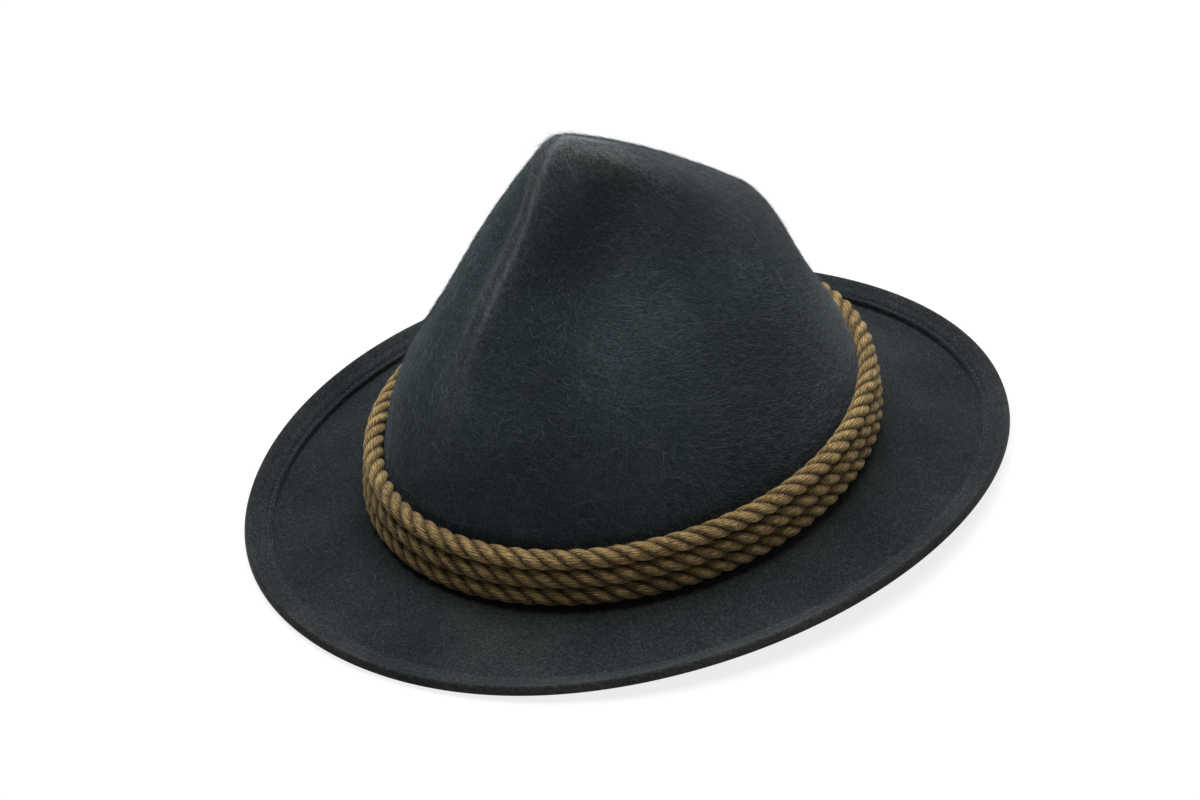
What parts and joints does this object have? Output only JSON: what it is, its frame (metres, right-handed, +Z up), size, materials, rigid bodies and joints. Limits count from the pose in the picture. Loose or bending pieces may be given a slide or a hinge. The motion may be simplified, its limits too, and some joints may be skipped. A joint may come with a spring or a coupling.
{
  "type": "forester hat",
  "caption": "Soft felt forester hat with a peaked, front-pinched crown, an oval turned-up brim and a twisted cord band.",
  "frame": {"origin": "centre of the brim's outline seen from above, on the surface the hat stands on", "axes": "+Z up, the hat's front towards -Y, the wearer's left towards +X"},
  "size_m": [0.253, 0.33, 0.1675],
  "materials": {
    "felt": "long-haired felt with a soft sheen",
    "cord": "matt twisted wool cord"
  },
  "bodies": {
    "root": {"felt_body": "felt", "cord_bottom": "cord", "cord_middle": "cord", "cord_top": "cord"}
  },
  "joints": []
}
